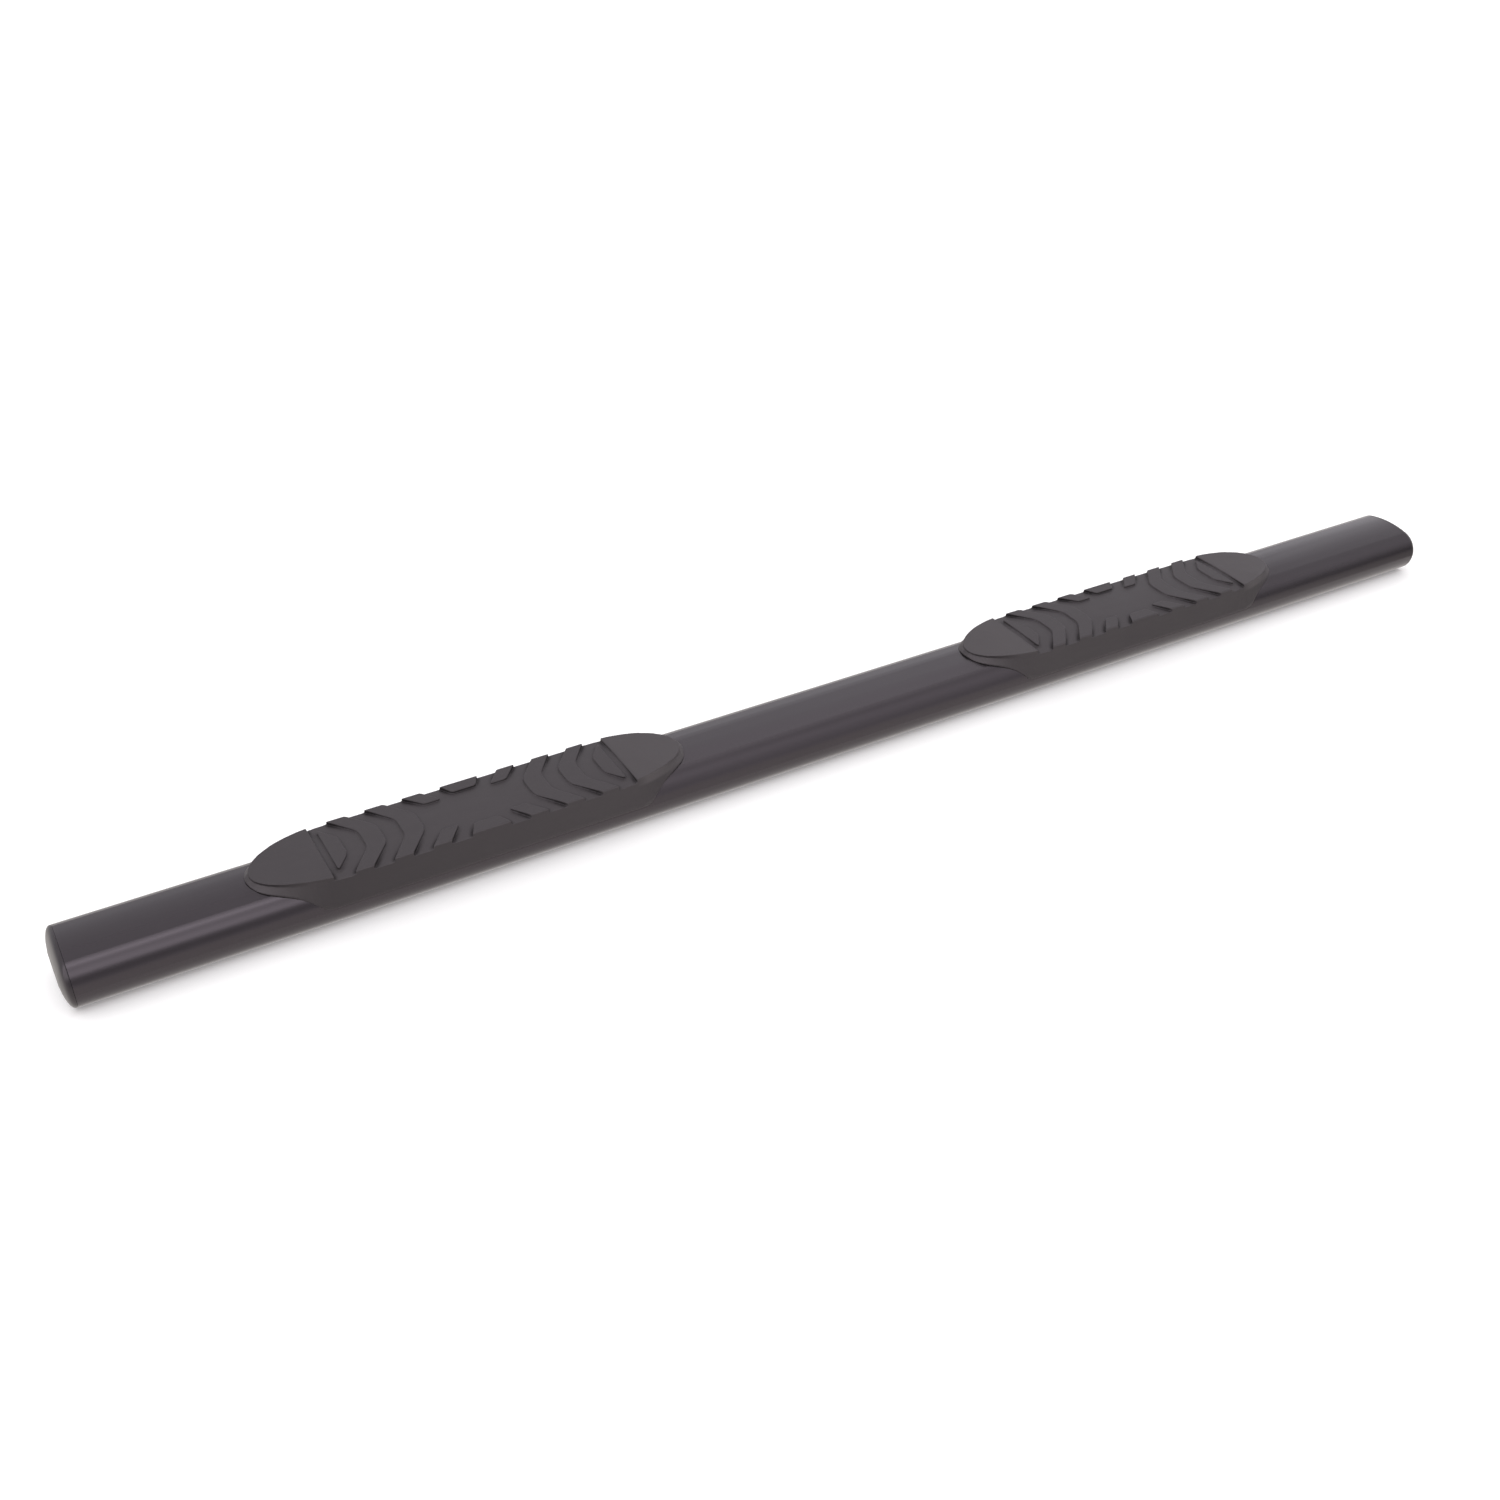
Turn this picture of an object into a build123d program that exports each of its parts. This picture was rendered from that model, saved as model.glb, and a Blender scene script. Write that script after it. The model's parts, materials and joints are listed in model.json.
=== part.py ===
from build123d import *
from math import atan2, cos, sin, sqrt
import os

os.makedirs("parts", exist_ok=True)

# Straight oval running board (step bar) for a pickup or SUV sill.
# Frame: +X along the bar from its front end to its rear end, +Y towards the
# vehicle, +Z up. Origin at mid length and mid width, on the tube's underside.

# ---------------------------------------------------------------- tube
tube_width = 130.0            # nominal 5 in oval, across the vehicle
tube_height = 76.2            # 3 in high
crown_r = 165.0               # the upper side is gently crowned, the underside is flat
tube_wall = 2.0
tube_length = 2299.0          # between the two cut ends
end_chamfer = 0.4             # broken edge that makes the seam line at each cap
wall_drill = 6.0              # depth of every hole through the tube's wall
drain_r = 4.0
drain_x = (-1080.0, -430.0, 430.0, 1080.0)

# ---------------------------------------------------------------- end caps
plug_gap = 0.25               # plug to tube bore, all round
plug_length = 32.0
plug_wall = 2.6
plug_lead = 1.6               # chamfer at the plug's inner end
hollow_past_end = 2.0         # how far the plug's hollow runs on into the dome
dome_hollow_inset = 19.0      # narrower hollow in the dome
dome_hollow_start, dome_hollow_depth = 1.0, 6.5
web_y, web_thick = 22.0, 2.4
web_setback = 12.0            # webs start this far in from the mouth of the plug
rib_count, rib_pitch = 3, 20.0  # crush ribs on each of the upper and lower walls
rib_r = plug_gap - 0.02
rib_start = 1.5               # from the tube's end to the ribs
bevel_length, bevel_inset = 0.5, 0.5

# (distance out from the tube's cut end, how far the section has drawn in)
dome_section = [
    (0.5, 0.08), (3.2, 0.45), (6.0, 2.6), (8.6, 7.2),
    (10.8, 14.0), (12.4, 21.8), (13.35, 29.5), (13.7, 33.6),
]

# ---------------------------------------------------------------- cap screws
cap_screw_inset = 14.0        # from the tube's cut end
screw_head_r, screw_shank_r = 4.0, 2.1
screw_shank_end_z, screw_tip_z = 12.0, 14.5
head_sink = 0.05              # head below the tube's underside
recess_length, recess_width, recess_depth = 4.2, 0.9, 1.5

# ---------------------------------------------------------------- bracket stations
stations = {"front": -860.0, "middle": 0.0, "rear": 860.0}
bolt_pitch = 60.0             # two M8 threads in line along the bar
thread_minor_r = 3.4          # M8 x 1.25 minor diameter 6.8
plate_hole_r = 4.5
plate_length, plate_width, plate_thick = 110.0, 42.0, 5.0
plate_corner_r, plate_chamfer = 5.0, 0.6
nut_af, nut_height = 14.0, 6.5
nut_cone_r, nut_cone_taper = nut_af / 2 + 3.2, 28  # cone that trims the nut's corners

# ---------------------------------------------------------------- step pads
pad_places = {"front": -603.0, "rear": 527.5}  # pad centres along the bar
pad_top_z = 87.2              # ridge of the tread
pad_edge_z = 86.4             # tread height at its long edges
pad_half_width = 61.0         # tread half width at the top edge
pad_draft = 3.0               # degrees, mould draft on the raised sides
nose_tip_x = 309.5            # tip of the raised nose
nose_length = 125.0
nose_start_x = nose_tip_x - nose_length
flange_tip_x = 315.0          # tip of the thin flange that lies on the tube
straight_end_x = 205.0        # end of the flange's straight long sides
skirt_half_width = 67.3
step_foot_z = 82.3            # foot of the upright tread wall, where the flank starts
foot_spread = 0.6             # how far the flank starts outside the tread
flank_overrun = 1.5           # flank carried on outwards, then trimmed to the outline
flank_base_z = 20.0
flange_thick = 3.0
flange_thin_x, flange_thin_rate = 285.0, 0.025  # thins from here, share lost per mm
skirt_low_z = 42.0            # lower edge of the skirt on the tube's side
floor_mid_z = 84.8            # bottom of the tread grooves on the centreline
floor_edge_z = 79.9           # and near the long edges
nose_wall_x = 216.0           # cross groove between nose and tread
tread_end_x = 206.0
cut_top_z = 120.0             # cuts open upwards run to here
pocket_count, pocket_pitch, pocket_y = 12, 35.0, 50.0
pocket_size = (29.0, 15.0)
pocket_low_z, pocket_height = 60.0, 17.0

# ---------------------------------------------------------------- pad fixings
clip_x = (-165.0, -55.0, 55.0, 165.0)
clip_y = 18.0
clip_hole_r = 4.0
clip_entry = 19.0             # travel of a clip along its keyhole slot
keyhole_low_z = tube_height - 4.0
seal_recess_r, seal_recess_depth = 7.6, 0.8
seal_r, seal_bore_r = 7.2, 3.6
neck_slot_width = 7.4
head_channel_width, head_channel_low, head_channel_high = 15.4, 2.0, 4.2  # above tube_height
entry_hole_r = 7.7
foam_width, foam_thick, foam_length = 14.0, 1.0, 540.0
tape_thick, tape_low_z, tape_high_z, tape_length = 0.8, 43.0, 51.0, 420.0
tape_mid_z = (tape_low_z + tape_high_z) / 2
pad_gap = 0.2                 # pad to tube, taken up by the foam strip and the tape

half_length = tube_length / 2
screw_x = half_length - cap_screw_inset
clip_spots = [(x, y) for x in clip_x for y in (-clip_y, clip_y)]

# The section is made of tangent arcs: a wide crown arc, an upper and a lower arc
# on each side that meet at mid height, and a flat underside.
tube_mid_z = tube_height / 2
crown_drop = crown_r - tube_height / 2
side_r = (crown_r ** 2 - (tube_width / 2) ** 2 - crown_drop ** 2) / (2 * (crown_r - tube_width / 2))
side_y = tube_width / 2 - side_r
crown_angle = atan2(side_y, crown_drop)
low_r = tube_height / 2
flat_y = tube_width / 2 - low_r
via_angle = 0.9               # radians from vertical, to the via point of each side arc


def save(part, name):
    part.label = name
    export_step(part, "parts/" + name + ".step")


def shifted_copy(part, x):
    """The same part moved along the bar."""
    with BuildPart() as copy:
        with Locations((x, 0, 0)):
            add(part)
    return copy.part


def from_below(x):
    """Place on the underside, turned so that holes go upwards."""
    return Location((x, 0, 0), (180, 0, 0))


def bolt_x(x):
    """Places of the two threads at a bracket station."""
    return [x + side * bolt_pitch / 2 for side in (-1, 1)]


def oval_loop(grow=0.0):
    """Closed outline of the oval section, moved outwards by grow, as (y, z)."""
    join_y = (crown_r + grow) * sin(crown_angle)
    join_z = tube_mid_z + (crown_r + grow) * cos(crown_angle) - crown_drop
    half_width, low_z = tube_width / 2 + grow, -grow
    upper_r, lower_r = side_r + grow, low_r + grow
    upper_y, upper_z = side_y + upper_r * sin(via_angle), tube_mid_z + upper_r * cos(via_angle)
    lower_y, lower_z = flat_y + lower_r * sin(via_angle), tube_mid_z - lower_r * cos(via_angle)
    with BuildLine(mode=Mode.PRIVATE) as loop:
        ThreePointArc((-join_y, join_z), (0, tube_height + grow), (join_y, join_z))
        ThreePointArc((join_y, join_z), (upper_y, upper_z), (half_width, tube_mid_z))
        ThreePointArc((half_width, tube_mid_z), (lower_y, lower_z), (flat_y, low_z))
        Line((flat_y, low_z), (-flat_y, low_z))
        ThreePointArc((-flat_y, low_z), (-lower_y, lower_z), (-half_width, tube_mid_z))
        ThreePointArc((-half_width, tube_mid_z), (-upper_y, upper_z), (-join_y, join_z))
    return loop.line.edges()


def oval_top(y, grow=0.0):
    """Height of the oval's upper surface at a distance y from the centreline."""
    if abs(y) < (crown_r + grow) * sin(crown_angle):
        return tube_mid_z - crown_drop + sqrt((crown_r + grow) ** 2 - y ** 2)
    return tube_mid_z + sqrt(max(0.0, (side_r + grow) ** 2 - (abs(y) - side_y) ** 2))


def polygon_loop(points):
    """Edges of a closed polygon."""
    with BuildLine(mode=Mode.PRIVATE) as loop:
        Polyline(*points, close=True)
    return loop.line.edges()


# ================================================================ oval tube
def make_oval_tube():
    """Steel tube, open at both ends, with clip holes on top and bolt, drain and
    cap screw holes underneath."""
    with BuildPart() as tube:
        with BuildSketch(Plane.YZ.offset(-half_length)):
            make_face(oval_loop())
            make_face(oval_loop(-tube_wall), mode=Mode.SUBTRACT)
        extrude(amount=tube_length)
        end_faces = tube.faces().filter_by(Axis.X)
        outer_edges = [edge for face in end_faces for edge in face.outer_wire().edges()]
        chamfer(outer_edges, length=end_chamfer)
        for pad_x in pad_places.values():
            with Locations(*[(pad_x + x, y, tube_height) for x, y in clip_spots]):
                Hole(clip_hole_r, depth=wall_drill)
        with Locations(*[from_below(x) for place_x in stations.values() for x in bolt_x(place_x)]):
            Hole(plate_hole_r, depth=wall_drill)
        with Locations(*[from_below(x) for x in drain_x]):
            Hole(drain_r, depth=wall_drill)
        with Locations(from_below(-screw_x), from_below(screw_x)):
            CounterSinkHole(
                screw_shank_r + 0.2, screw_head_r + 0.25, depth=wall_drill, counter_sink_angle=90
            )
    return tube.part


save(make_oval_tube(), "oval_tube")


# ================================================================ end caps
def make_rear_end_cap():
    """Moulded plug cap: a crowned face flush with the tube, and a hollow plug
    with crush ribs that goes into the bore."""
    plug_inset = tube_wall + plug_gap
    with BuildPart() as cap:
        # small bevel that forms the seam against the tube's own bevel
        with BuildSketch(Plane.YZ.offset(half_length)):
            make_face(oval_loop(-bevel_inset))
        with BuildSketch(Plane.YZ.offset(half_length + bevel_length)):
            make_face(oval_loop(-dome_section[0][1]))
        loft(ruled=True)
        # crowned face: the section drawn in step by step
        for out, draw_in in dome_section:
            with BuildSketch(Plane.YZ.offset(half_length + out)):
                make_face(oval_loop(-draw_in))
        loft()
        # plug that goes into the bore
        with BuildSketch(Plane.YZ.offset(half_length)):
            make_face(oval_loop(-plug_inset))
        extrude(amount=-plug_length)
        chamfer(cap.faces().sort_by(Axis.X)[0].outer_wire().edges(), length=plug_lead)
        # moulded hollow, open to the inside of the bar
        with BuildSketch(Plane.YZ.offset(half_length - plug_length)):
            make_face(oval_loop(-plug_inset - plug_wall))
        extrude(amount=plug_length + hollow_past_end, mode=Mode.SUBTRACT)
        with BuildSketch(Plane.YZ.offset(half_length + dome_hollow_start)):
            make_face(oval_loop(-dome_hollow_inset))
        extrude(amount=dome_hollow_depth, mode=Mode.SUBTRACT)
        # stiffening webs across the hollow
        with BuildSketch(Plane.YZ.offset(half_length - plug_length + web_setback)):
            with Locations((-web_y, tube_mid_z), (web_y, tube_mid_z)):
                Rectangle(web_thick, tube_height - 2 * plug_inset - 5.0)
        extrude(amount=plug_length - web_setback + hollow_past_end)
        # crush ribs on the upper and lower walls of the plug
        with BuildSketch(Plane.YZ.offset(half_length - rib_start)):
            rib_y = [rib_pitch * (i - (rib_count - 1) / 2) for i in range(rib_count)]
            with Locations(*[(y, oval_top(y, -plug_inset)) for y in rib_y]):
                Circle(rib_r)
            with Locations(*[(y, plug_inset) for y in rib_y]):
                Circle(rib_r)
        extrude(amount=-(plug_length - 8.0))
        # pilot hole for the retaining screw in the lower wall
        with Locations(from_below(screw_x)):
            Hole(screw_shank_r, depth=8)
    return cap.part


def make_front_end_cap(rear_cap):
    """Mirror image of the rear cap, with the rear one split off."""
    with BuildPart() as cap:
        add(rear_cap)
        mirror(about=Plane.YZ)
        split(bisect_by=Plane.YZ, keep=Keep.BOTTOM)
    return cap.part


rear_end_cap = make_rear_end_cap()
save(rear_end_cap, "rear_end_cap")
save(make_front_end_cap(rear_end_cap), "front_end_cap")


# ================================================================ cap screws
def make_front_cap_screw():
    """Countersunk self-tapping screw, pointing up, with its head at the underside."""
    shank_r = screw_shank_r - 0.02
    # (radius, z)
    screw_side = [
        (0, head_sink), (screw_head_r, head_sink),
        (shank_r, screw_head_r - screw_shank_r + 0.1),
        (shank_r, screw_shank_end_z), (0, screw_tip_z),
    ]
    with BuildPart() as screw:
        with BuildSketch(Plane.XZ):
            with BuildLine():
                Polyline(*[(-screw_x + r, z) for r, z in screw_side], close=True)
            make_face()
        revolve(axis=Axis((-screw_x, 0, 0), (0, 0, 1)))
        # cross recess in the head
        with BuildSketch(Plane.XY):
            with Locations((-screw_x, 0)):
                Rectangle(recess_length, recess_width)
                Rectangle(recess_width, recess_length)
        extrude(amount=recess_depth, mode=Mode.SUBTRACT)
    return screw.part


front_cap_screw = make_front_cap_screw()
save(front_cap_screw, "front_cap_screw")
save(shifted_copy(front_cap_screw, 2 * screw_x), "rear_cap_screw")


# ================================================================ bracket stations
def make_nut_plate(x):
    """Steel strip on the inside of the tube's lower flat."""
    with BuildPart() as plate:
        with BuildSketch(Plane.XY.offset(tube_wall)):
            with Locations((x, 0)):
                RectangleRounded(plate_length, plate_width, plate_corner_r)
        extrude(amount=plate_thick)
        chamfer(plate.faces().sort_by(Axis.Z)[-1].edges(), length=plate_chamfer)
        with Locations(*[(hole_x, 0, tube_wall + plate_thick) for hole_x in bolt_x(x)]):
            Hole(plate_hole_r, depth=plate_thick)
    return plate.part


def make_weld_nuts(x):
    """Two hexagonal weld nuts on top of the plate."""
    seat_z = tube_wall + plate_thick
    nut_spots = [(nut_x, 0) for nut_x in bolt_x(x)]
    with BuildPart() as nuts:
        with BuildSketch(Plane.XY.offset(seat_z)):
            with Locations(*nut_spots):
                RegularPolygon(nut_af / 2, 6, major_radius=False)
        extrude(amount=nut_height)
        # turned chamfer on the top of each hexagon
        with BuildSketch(Plane.XY.offset(seat_z)):
            with Locations(*nut_spots):
                Circle(nut_cone_r)
        extrude(amount=nut_height, taper=nut_cone_taper, mode=Mode.INTERSECT)
        with Locations(*[(nut_x, 0, seat_z + nut_height) for nut_x in bolt_x(x)]):
            CounterSinkHole(
                thread_minor_r, thread_minor_r + 0.7, depth=nut_height, counter_sink_angle=90
            )
    return nuts.part


for place, place_x in stations.items():
    save(make_nut_plate(place_x), place + "_nut_plate")
    save(make_weld_nuts(place_x), place + "_weld_nuts")


# ================================================================ step pad
# One-piece moulding: a thin flange and skirt that hug the tube, and a raised
# tread with a smooth pointed nose at each end, a cross groove behind each nose,
# chevron bars whose points face the middle, and a plain sunk panel in the centre.

# quarter outline of the flange in plan, from its tip to the long side: (x, y)
flange_quarter = [
    (flange_tip_x, 0), (313.3, 12.0), (308.0, 24.0), (299.0, 34.0), (280.0, 45.9), (258.0, 56.0),
    (246.5, 61.3), (238.5, 64.2), (225.0, 66.6), (straight_end_x, skirt_half_width),
]
# flank along the skirt: (x, half width and height where the flank ends)
skirt_flank = [
    (0.0, skirt_half_width, 46.0), (nose_start_x, skirt_half_width, 46.0),
    (straight_end_x, skirt_half_width, 46.0), (225.0, 66.6, 48.0), (238.5, 64.2, 52.0),
]
# flank round the nose, ending on top of the flange: (x, half width)
nose_flank = [
    (246.5, 61.3), (258.0, 56.0), (269.0, 51.2), (280.0, 45.9),
    (290.0, 40.4), (299.0, 34.0), (304.5, 28.8),
]
# rounded long edge of the tread: (y, z) of its start, middle and end
edge_round = [(58.0, pad_edge_z), (60.3, pad_edge_z - 0.6), (61.6, pad_edge_z - 1.9)]


def foot_half(x):
    """Half width at x, in plan, of the foot of the raised tread."""
    past = max(0.0, x - nose_start_x) / nose_length
    return pad_half_width * sqrt(max(0.0, 1 - past ** 2)) + foot_spread


def flank_stations():
    """Stations as (x, y and z where the flank starts, y and z where it ends)."""
    flank = [(x, foot_half(x), step_foot_z, y, z) for x, y, z in skirt_flank]
    for x, y in nose_flank:
        thick = flange_thick * (1.0 - flange_thin_rate * max(0.0, x - flange_thin_x))
        flank.append((x, foot_half(x), step_foot_z, y, oval_top(y) + thick))
    tip_top_z = oval_top(21.5) + 0.3 * flange_thick
    flank.append((nose_tip_x, 8.0, step_foot_z - 0.4, 21.5, tip_top_z))
    end_top_z = oval_top(14) + 0.2 * flange_thick
    flank.append((flange_tip_x + 1.0, 3.0, step_foot_z - 4.6, 14.0, end_top_z))
    return flank


def make_pad_shape():
    """Outer shape of the pad, before the grooves and the underside are cut."""
    with BuildPart() as shape:
        # body under the tread: flank sections joined by straight lines
        for x, y_in, z_in, y_out, z_out in flank_stations():
            drop = flank_overrun * (z_in - z_out) / (y_out - y_in)
            y_far, z_far = y_out + flank_overrun, z_out - drop
            with BuildSketch(Plane.YZ.offset(x)):
                with BuildLine():
                    Polyline(
                        (-y_far, flank_base_z), (-y_far, z_far), (-y_in, z_in),
                        (y_in, z_in), (y_far, z_far), (y_far, flank_base_z), close=True,
                    )
                make_face()
        loft(ruled=True)
        mirror(about=Plane.YZ)
        # trimmed to the pointed outline and to the skirt's lower edge
        with BuildSketch(Plane.XY.offset(skirt_low_z)):
            with BuildLine():
                quarter = Spline(*flange_quarter, tangents=((0, 1), (-1, 0)))
                mirror(quarter, about=Plane.YZ)
                Line((straight_end_x, skirt_half_width), (-straight_end_x, skirt_half_width))
                Line((flange_tip_x, 0), (-flange_tip_x, 0))
            make_face()
            mirror(about=Plane.XZ)
        extrude(amount=60, mode=Mode.INTERSECT)

        # raised tread: long island with elliptical noses, drafted outwards going down
        with BuildSketch(Plane.XY.offset(pad_top_z + 1.5)):
            Rectangle(2 * nose_start_x, 2 * pad_half_width)
            with Locations((nose_start_x, 0), (-nose_start_x, 0)):
                Ellipse(nose_length, pad_half_width)
        extrude(amount=-(pad_top_z + 1.5 - step_foot_z + 1.5), taper=-pad_draft)

        # slightly crowned top with rounded long edges
        round_start, round_mid, round_end = edge_round
        left_start, left_mid, left_end = [(-y, z) for y, z in edge_round]
        with BuildSketch(Plane.YZ.offset(-400)):
            with BuildLine():
                ThreePointArc(left_start, (0, pad_top_z), round_start)
                ThreePointArc(round_start, round_mid, round_end)
                Polyline(
                    round_end, (80, round_end[1]), (80, cut_top_z), (-80, cut_top_z),
                    (-80, left_end[1]), left_end,
                )
                ThreePointArc(left_end, left_mid, left_start)
            make_face()
        extrude(amount=800, mode=Mode.SUBTRACT)
        # noses dip a little towards both tips
        dip_start = (nose_wall_x, pad_top_z + 0.1)
        dip_end = (nose_tip_x + 10, pad_top_z - 3.4)
        with BuildSketch(Plane.XZ.offset(-90)):
            with BuildLine():
                ThreePointArc(dip_start, (270.0, pad_top_z - 0.75), dip_end)
                Polyline(dip_end, (dip_end[0], cut_top_z), (nose_wall_x, cut_top_z), dip_start)
            make_face()
            mirror(about=Plane.YZ)
        extrude(amount=180, mode=Mode.SUBTRACT)
    return shape.part


# Plan of everything that stands up from the groove floor, on the rear half.
outer_y = 66.0                # bars run past the tread's long edges to here
chevron_tip_y = 20.0          # half width of a chevron's blunt point
edge_overrun = 4.0            # legs carried on outwards from their edge places
slope_in, slope_out = 0.825, 0.75  # x per y over that overrun, inner and outer sides


def chevron(x_edge_in, x_edge_out, x_mid_in, x_mid_out):
    """Chevron bar from the x of its inner and outer sides, at the edges and middle."""
    x_in = x_edge_in + edge_overrun * slope_in
    x_out = x_edge_out + edge_overrun * slope_out
    return [
        (x_in, outer_y), (x_out, outer_y), (x_mid_out, chevron_tip_y),
        (x_mid_out, -chevron_tip_y), (x_out, -outer_y), (x_in, -outer_y),
        (x_mid_in, -chevron_tip_y), (x_mid_in, chevron_tip_y),
    ]


def eased(points, reach):
    """The same loop with every corner inside the pad rounded over a given reach."""
    out = []
    for i, corner in enumerate(points):
        if abs(corner[1]) > 60:
            out.append(corner)
            continue
        ends = []
        for other in (points[i - 1], points[(i + 1) % len(points)]):
            run = sqrt((other[0] - corner[0]) ** 2 + (other[1] - corner[1]) ** 2)
            share = min(reach, run * 0.48) / run
            ends.append([corner[j] + (other[j] - corner[j]) * share for j in (0, 1)])
        # points along a quadratic curve that has the corner as its control point
        for t in (0.0, 0.2, 0.4, 0.6, 0.8, 1.0):
            out.append(tuple(
                (1 - t) ** 2 * ends[0][j] + 2 * t * (1 - t) * corner[j] + t ** 2 * ends[1][j]
                for j in (0, 1)
            ))
    return out


inner_chevron = eased(chevron(110.5, 136.0, 78.0, 106.0), 10.0)
outer_chevron = eased(chevron(164.0, 189.0, 131.0, 158.0), 10.0)
short_bar = eased([(60.5, outer_y), (86.5, outer_y), (60.0, 33), (36.0, 33)], 4.0)
centre_block = eased([(-30.0, outer_y), (30.0, outer_y), (17.0, 40), (-17.0, 40)], 4.0)
end_block = eased([(tread_end_x, 48), (tread_end_x, -48), (184.5, -20), (184.5, 20)], 8.0)

# (outline, sign of x, sign of y) of each raised block
raised_blocks = [
    (points, sx, 1) for points in (inner_chevron, outer_chevron, end_block) for sx in (1, -1)
]
raised_blocks += [(short_bar, sx, sy) for sx in (1, -1) for sy in (1, -1)]
raised_blocks += [(centre_block, 1, sy) for sy in (1, -1)]


def make_groove_cutter():
    """The space between the raised blocks, down to the curved groove floor."""
    floor_end_y, floor_end_z = 76, floor_edge_z - 1.2
    with BuildPart() as cutter:
        with BuildSketch(Plane.XY.offset(78)):
            Rectangle(2 * nose_wall_x, 150)
            for points, sx, sy in raised_blocks:
                outline = polygon_loop([(sx * x, sy * y) for x, y in points])
                make_face(outline, mode=Mode.SUBTRACT)
        extrude(amount=30)
        with BuildSketch(Plane.YZ.offset(-300)):
            with BuildLine():
                ThreePointArc(
                    (-floor_end_y, floor_end_z), (0, floor_mid_z), (floor_end_y, floor_end_z)
                )
                Polyline(
                    (floor_end_y, floor_end_z), (floor_end_y, 60),
                    (-floor_end_y, 60), (-floor_end_y, floor_end_z),
                )
            make_face()
        extrude(amount=600, mode=Mode.SUBTRACT)
    return cutter.part


def make_underside_cutter():
    """Everything under the pad that must stay free."""
    pocket_x = [pocket_pitch * (i - (pocket_count - 1) / 2) for i in range(pocket_count)]
    slot_spots = [(x + clip_entry / 2, y) for x, y in clip_spots]
    with BuildPart() as cutter:
        # the tube itself
        with BuildSketch(Plane.YZ.offset(-flange_tip_x - 20)):
            make_face(oval_loop(pad_gap))
        extrude(amount=2 * (flange_tip_x + 20))
        # lightening pockets under the long edges
        with BuildSketch(Plane.XY.offset(pocket_low_z)):
            with Locations(*[(x, side * pocket_y) for x in pocket_x for side in (-1, 1)]):
                Rectangle(*pocket_size)
        extrude(amount=pocket_height)
        # foam channel
        with BuildSketch(Plane.XY.offset(tube_height - 0.5)):
            Rectangle(foam_length + 1, foam_width + 0.4)
        extrude(amount=foam_thick + 0.5)
        # shallow seat for the tape along the inside of both skirts
        with BuildSketch(Plane.YZ.offset(-tape_length / 2 - 1)):
            make_face(oval_loop(tape_thick + 0.05))
            with Locations((0, tape_mid_z)):
                Rectangle(200, tape_high_z - tape_low_z + 1, mode=Mode.INTERSECT)
        extrude(amount=tape_length + 2)
        # seal recess, neck slot, head channel and entry hole of each clip keyhole
        with BuildSketch(Plane.XY.offset(keyhole_low_z)):
            with Locations(*clip_spots):
                Circle(seal_recess_r)
        extrude(amount=tube_height + seal_recess_depth - keyhole_low_z)
        with BuildSketch(Plane.XY.offset(keyhole_low_z)):
            with Locations(*slot_spots):
                SlotCenterToCenter(clip_entry, neck_slot_width)
        extrude(amount=6.6)
        with BuildSketch(Plane.XY.offset(tube_height + head_channel_low)):
            with Locations(*slot_spots):
                SlotCenterToCenter(clip_entry, head_channel_width)
        extrude(amount=head_channel_high - head_channel_low)
        with BuildSketch(Plane.XY.offset(keyhole_low_z)):
            with Locations(*[(x + clip_entry, y) for x, y in clip_spots]):
                Circle(entry_hole_r)
        extrude(amount=tube_height + head_channel_high - keyhole_low_z)
    return cutter.part


def make_pad_moulding():
    """The finished pad, centred on x = 0."""
    shape = make_pad_shape()
    grooves = make_groove_cutter()
    underside = make_underside_cutter()
    with BuildPart() as moulding:
        add(shape)
        add(grooves, mode=Mode.SUBTRACT)
        add(underside, mode=Mode.SUBTRACT)
    return moulding.part


pad_moulding = make_pad_moulding()
for place, pad_x in pad_places.items():
    save(shifted_copy(pad_moulding, pad_x), place + "_step_pad")


# ================================================================ pad fixings
# Nylon push-in clip, (radius, z): round head held in the pad's keyhole, neck
# through the tube wall, two barbs below the wall, and a pointed tail.
clip_profile = [
    (0, 80.2), (7.3, 80.2), (7.5, 80.0), (7.5, 78.5), (7.3, 78.3), (3.4, 78.3), (3.4, 72.4),
    (4.9, 72.2), (3.9, 68.8), (2.6, 68.8), (2.6, 67.0), (4.7, 66.8), (3.7, 63.4), (2.6, 63.4),
    (2.6, 60.5), (0.8, 56.0), (0, 56.0),
]


def make_clip():
    with BuildPart() as clip:
        with BuildSketch(Plane.XZ):
            with BuildLine():
                Polyline(*clip_profile, close=True)
            make_face()
        revolve(axis=Axis.Z)
    return clip.part


def make_seal_pair():
    """Foam rings round a pair of clips, between the pad's recess and the crown."""
    with BuildPart() as seals:
        with BuildSketch(Plane.XY.offset(tube_height + seal_recess_depth)):
            with Locations((0, clip_y), (0, -clip_y)):
                Circle(seal_r)
                Circle(seal_bore_r, mode=Mode.SUBTRACT)
        extrude(amount=-6)
        with BuildSketch(Plane.YZ.offset(-10)):
            make_face(oval_loop())
        extrude(amount=20, mode=Mode.SUBTRACT)
    return seals.part


def copies_at(part, spots):
    """One part holding a copy of the given part at every spot."""
    with BuildPart() as copies:
        with Locations(*spots):
            add(part)
    return copies.part


def make_pad_foam(pad_x):
    """Closed-cell foam strip that stops the pad rattling on the tube."""
    with BuildPart() as foam:
        with BuildSketch(Plane.XY.offset(tube_height)):
            with Locations((pad_x, 0)):
                RectangleRounded(foam_length, foam_width, 2)
        extrude(amount=foam_thick)
    return foam.part


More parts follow.
